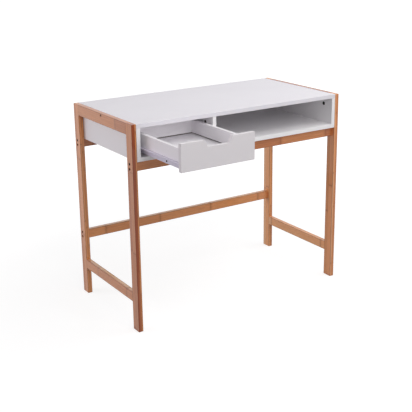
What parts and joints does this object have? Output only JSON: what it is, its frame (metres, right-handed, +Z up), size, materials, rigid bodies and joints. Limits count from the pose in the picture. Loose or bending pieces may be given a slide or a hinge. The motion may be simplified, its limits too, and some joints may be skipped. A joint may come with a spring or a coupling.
{
  "type": "writing desk",
  "caption": "Writing desk: a white board box between flat bamboo ladder frames, with an inset drawer with a cut-out hand grip on roller runners beside an open compartment.",
  "frame": {"origin": "on the floor, in the middle of the stored outline, which is taken with the drawer pulled out 252 mm; the desk's front plane is 99 mm in front of it", "axes": "+X to the sitter's right, +Y away from the sitter, +Z up"},
  "size_m": [0.9, 0.702, 0.75],
  "materials": {
    "bamboo": "laminated bamboo, clear satin lacquer",
    "white_board": "fibreboard, white satin lacquer",
    "drawer_board": "fibreboard, white foil",
    "white_hardboard": "thin hardboard, white face",
    "coated_steel": "folded steel, white epoxy coat",
    "nylon": "moulded nylon",
    "beech": "fluted beech, bare",
    "black_steel": "black oxide steel",
    "zinc_steel": "zinc plated steel",
    "cam_zinc": "die-cast zinc, dark"
  },
  "bodies": {
    "desk": {"left_front_leg": "bamboo", "left_rear_leg": "bamboo", "right_front_leg": "bamboo", "right_rear_leg": "bamboo", "left_top_rail": "bamboo", "right_top_rail": "bamboo", "left_side_stretcher": "bamboo", "right_side_stretcher": "bamboo", "front_apron": "bamboo", "rear_apron": "bamboo", "rear_stretcher": "bamboo", "top_panel": "white_board", "bottom_panel": "white_board", "left_side_panel": "white_board", "right_side_panel": "white_board", "divider_panel": "white_board", "back_panel": "white_hardboard", "left_cabinet_runner": "coated_steel", "right_cabinet_runner": "coated_steel", "frame_dowels": "beech", "box_dowels": "beech", "frame_bolts": "black_steel", "top_rail_screws": "black_steel", "barrel_nuts": "zinc_steel", "box_screws": "zinc_steel", "apron_screws": "zinc_steel", "cam_bolts": "zinc_steel", "cabinet_runner_screws": "zinc_steel", "cabinet_roller_pins": "zinc_steel", "cam_locks": "cam_zinc"},
    "drawer": {"drawer_front": "white_board", "drawer_left_side": "drawer_board", "drawer_right_side": "drawer_board", "drawer_back": "drawer_board", "drawer_bottom": "white_hardboard", "left_drawer_runner": "coated_steel", "right_drawer_runner": "coated_steel", "drawer_dowels": "beech", "drawer_back_screws": "zinc_steel", "drawer_runner_screws": "zinc_steel", "drawer_roller_pins": "zinc_steel"},
    "left_front_roller": {"left_front_roller": "nylon"},
    "right_front_roller": {"right_front_roller": "nylon"},
    "left_rear_roller": {"left_rear_roller": "nylon"},
    "right_rear_roller": {"right_rear_roller": "nylon"}
  },
  "joints": [
    {"name": "drawer_slide", "type": "slide", "parent": "desk", "child": "drawer", "axis": [0, -1, 0], "range_m": [-0.252, 0.013]},
    {"name": "left_front_roller_spin", "type": "hinge", "parent": "desk", "child": "left_front_roller", "pos_m": [-0.411, -0.07, 0.6572], "axis": [1, 0, 0], "continuous": true},
    {"name": "right_front_roller_spin", "type": "hinge", "parent": "desk", "child": "right_front_roller", "pos_m": [-0.135, -0.07, 0.6572], "axis": [1, 0, 0], "continuous": true},
    {"name": "left_rear_roller_spin", "type": "hinge", "parent": "drawer", "child": "left_rear_roller", "pos_m": [-0.411, 0.002, 0.658], "axis": [1, 0, 0], "continuous": true},
    {"name": "right_rear_roller_spin", "type": "hinge", "parent": "drawer", "child": "right_rear_roller", "pos_m": [-0.135, 0.002, 0.658], "axis": [1, 0, 0], "continuous": true}
  ],
  "couplings": [
    {"joint": "left_front_roller_spin", "follows": "drawer_slide", "rad_per_m": 117.65},
    {"joint": "right_front_roller_spin", "follows": "drawer_slide", "rad_per_m": 117.65},
    {"joint": "left_rear_roller_spin", "follows": "drawer_slide", "rad_per_m": 105.26},
    {"joint": "right_rear_roller_spin", "follows": "drawer_slide", "rad_per_m": 105.26}
  ]
}
